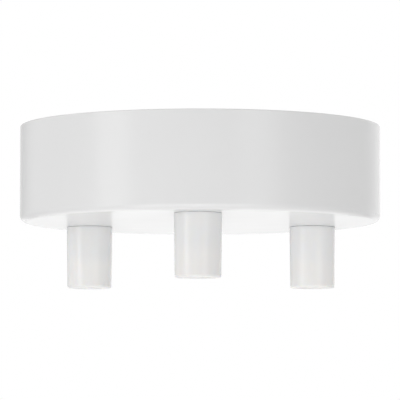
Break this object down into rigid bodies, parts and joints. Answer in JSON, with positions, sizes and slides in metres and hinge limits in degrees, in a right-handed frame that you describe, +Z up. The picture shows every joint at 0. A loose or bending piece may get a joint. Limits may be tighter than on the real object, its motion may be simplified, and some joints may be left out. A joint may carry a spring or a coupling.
{
  "type": "electrical ceiling rose",
  "caption": "Round ceiling canopy with cord grips that screw down on hollow stems, over a bracket, an earth clamp and a terminal block.",
  "frame": {"origin": "on the canopy's axis in the ceiling plane, midway between the bracket's two ceiling slots", "axes": "+Z up into the ceiling, along the canopy's axis; -Y towards the front outlet; +X towards the right ear and side screw"},
  "size_m": [0.12, 0.12, 0.0527],
  "materials": {
    "canopy_paint": "semi-gloss white powder coat",
    "zinc_steel": "bright zinc plate",
    "stem_steel": "zinc-plated thread",
    "screw_white": "white painted screw heads",
    "brass": "machined brass",
    "block_nylon": "natural nylon, slightly translucent",
    "collet_nylon": "natural nylon",
    "barrel_plastic": "glossy white moulded plastic"
  },
  "bodies": {
    "housing": {"canopy": "canopy_paint", "bracket": "zinc_steel", "side_screw_right": "screw_white", "side_screw_left": "screw_white", "earth_clamp": "brass", "earth_screw": "brass", "earth_washer": "zinc_steel", "earth_nut": "zinc_steel", "terminal_block": "block_nylon", "terminal_sleeve_left": "brass", "terminal_sleeve_middle": "brass", "terminal_sleeve_right": "brass", "terminal_screws": "zinc_steel", "block_screw_right": "zinc_steel", "block_screw_left": "zinc_steel", "stem_front": "stem_steel", "stem_right": "stem_steel", "stem_left": "stem_steel", "washer_front": "zinc_steel", "washer_right": "zinc_steel", "washer_left": "zinc_steel", "lock_nut_front": "zinc_steel", "lock_nut_right": "zinc_steel", "lock_nut_left": "zinc_steel"},
    "front_collet": {"collet_front": "collet_nylon"},
    "right_collet": {"collet_right": "collet_nylon"},
    "left_collet": {"collet_left": "collet_nylon"},
    "front_barrel": {"barrel_front": "barrel_plastic"},
    "right_barrel": {"barrel_right": "barrel_plastic"},
    "left_barrel": {"barrel_left": "barrel_plastic"}
  },
  "joints": [
    {"name": "front_drop", "type": "slide", "parent": "housing", "child": "front_collet", "axis": [0, 0, 1], "range_m": [-0.006, 0]},
    {"name": "front_turn", "type": "hinge", "parent": "front_collet", "child": "front_barrel", "pos_m": [0, -0.0437, -0.0425], "axis": [0, 0, 1], "range_deg": [-2160, 0]},
    {"name": "right_drop", "type": "slide", "parent": "housing", "child": "right_collet", "axis": [0, 0, 1], "range_m": [-0.006, 0]},
    {"name": "right_turn", "type": "hinge", "parent": "right_collet", "child": "right_barrel", "pos_m": [0.03785, 0.02185, -0.0425], "axis": [0, 0, 1], "range_deg": [-2160, 0]},
    {"name": "left_drop", "type": "slide", "parent": "housing", "child": "left_collet", "axis": [0, 0, 1], "range_m": [-0.006, 0]},
    {"name": "left_turn", "type": "hinge", "parent": "left_collet", "child": "left_barrel", "pos_m": [-0.03785, 0.02185, -0.0425], "axis": [0, 0, 1], "range_deg": [-2160, 0]}
  ],
  "couplings": [
    {"joint": "front_drop", "follows": "front_turn", "m_per_rad": 0.00015915},
    {"joint": "right_drop", "follows": "right_turn", "m_per_rad": 0.00015915},
    {"joint": "left_drop", "follows": "left_turn", "m_per_rad": 0.00015915}
  ]
}
